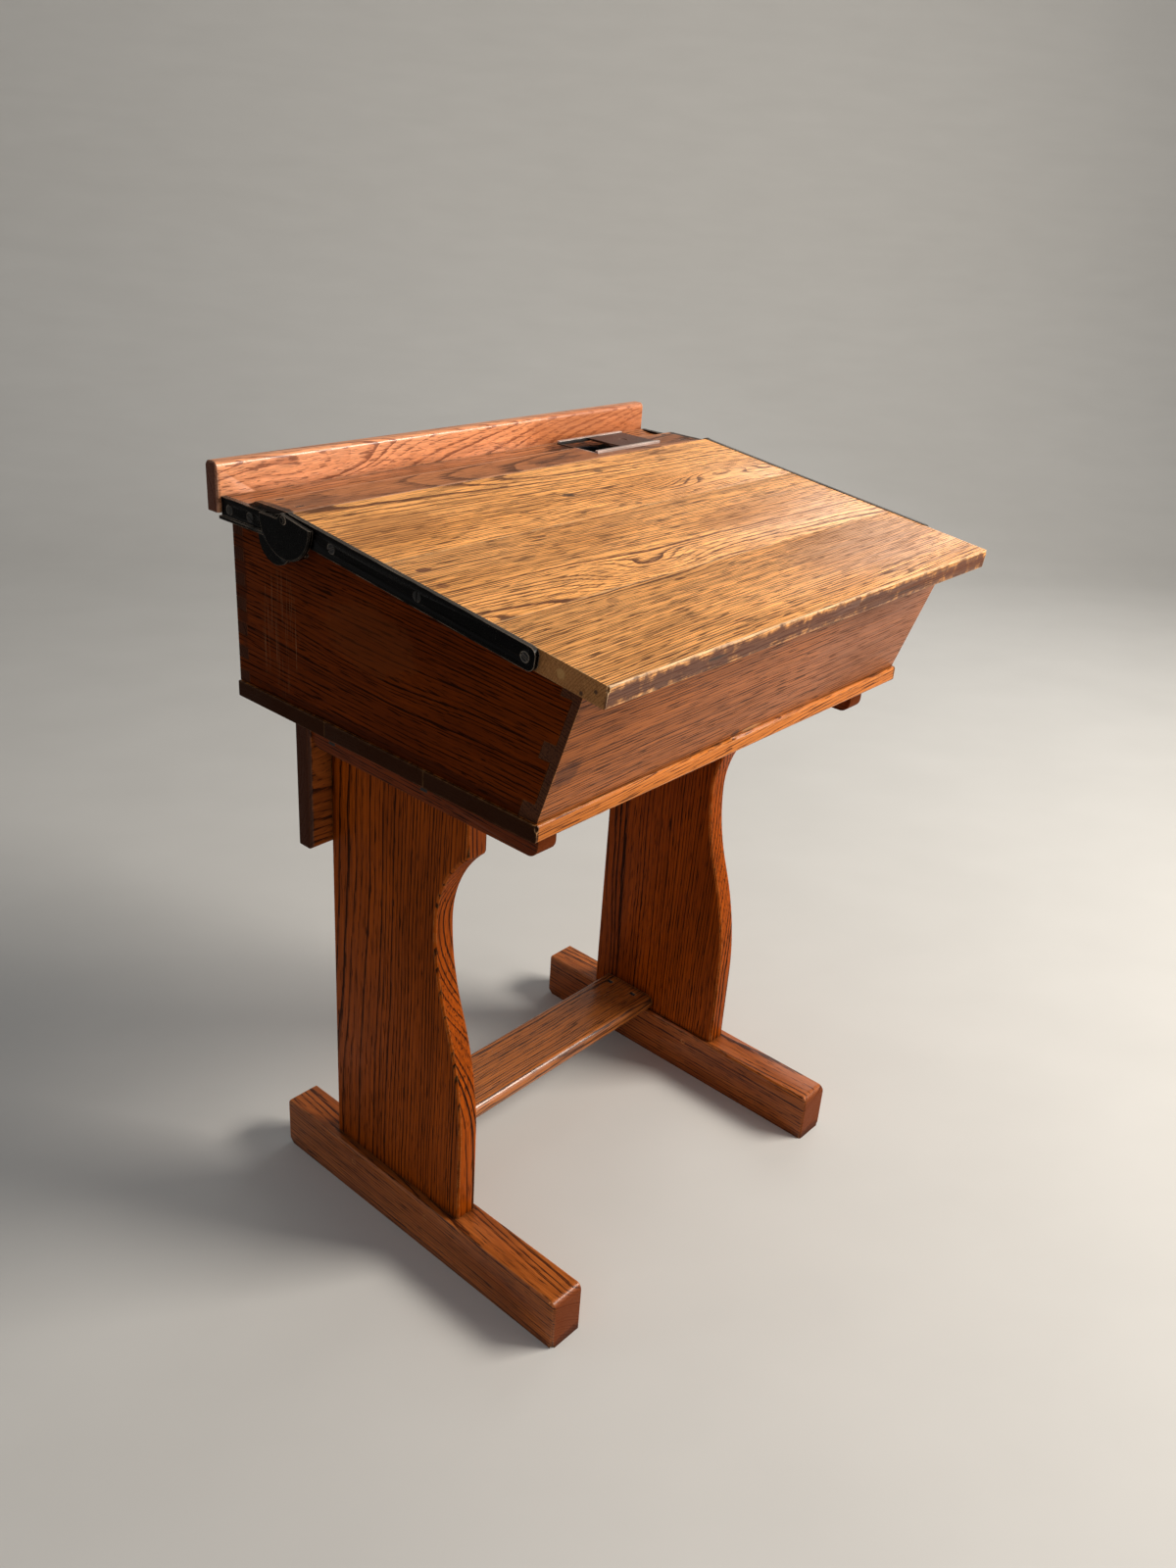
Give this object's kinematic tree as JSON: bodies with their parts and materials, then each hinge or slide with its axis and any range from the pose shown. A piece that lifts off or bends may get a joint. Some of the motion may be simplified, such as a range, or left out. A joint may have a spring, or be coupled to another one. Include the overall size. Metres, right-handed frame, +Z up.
{
  "type": "sloping writing desk",
  "caption": "Upright wooden writing desk: a sloping hinged lid over a storage box, a pen-groove shelf with an inkwell, and panel legs on sled feet.",
  "frame": {"origin": "on the floor, under the middle of the desk's outer box", "axes": "+X to the user's right, +Y to the back with the gallery rail, +Z up"},
  "size_m": [0.603, 0.4752, 0.808],
  "materials": {
    "leg_oak": "satin varnish, dark stained oak",
    "box_oak": "satin varnish, stained oak",
    "top_oak": "worn satin varnish, golden oak",
    "cast_iron": "black satin japanning",
    "pin_steel": "dulled rivet head",
    "rail_steel": "rubbed bright on the rails",
    "bronzed_cover": "brown bronzed and worn",
    "pot_glaze": "dark gloss glaze",
    "nail_iron": "blackened cut nail",
    "screw_steel": "dulled steel"
  },
  "bodies": {
    "desk": {"foot_left": "leg_oak", "foot_right": "leg_oak", "leg_left": "leg_oak", "leg_right": "leg_oak", "bearer_left": "leg_oak", "bearer_right": "leg_oak", "floor_stretcher": "leg_oak", "rear_rail": "leg_oak", "foot_pegs": "leg_oak", "box_side_left": "box_oak", "box_side_right": "box_oak", "box_front_board": "box_oak", "box_back_board": "box_oak", "bottom_board_front": "box_oak", "bottom_board_middle": "box_oak", "bottom_board_rear": "box_oak", "top_shelf": "top_oak", "gallery_rail": "top_oak", "hinge_plate_left": "cast_iron", "hinge_plate_right": "cast_iron", "hinge_pins": "pin_steel", "inkwell_frame": "rail_steel", "inkwell_pot": "pot_glaze", "hinge_plate_screws": "screw_steel", "bearer_nails": "nail_iron", "rear_rail_nails": "nail_iron", "stretcher_nails": "nail_iron", "shelf_nails": "nail_iron", "bottom_nails": "nail_iron", "gallery_nails": "nail_iron"},
    "lid": {"lid_board_rear": "top_oak", "lid_board_middle": "top_oak", "lid_board_front": "top_oak", "lid_arm_left": "cast_iron", "lid_arm_right": "cast_iron", "lid_arm_screws": "screw_steel"},
    "cover": {"inkwell_cover": "bronzed_cover"}
  },
  "joints": [
    {"name": "lid_hinge", "type": "hinge", "parent": "desk", "child": "lid", "pos_m": [0, 0.125, 0.778], "axis": [-1, 0, 0], "range_deg": [0, 100]},
    {"name": "cover_slide", "type": "slide", "parent": "desk", "child": "cover", "axis": [-1, 0, 0], "range_m": [0, 0.047]}
  ]
}
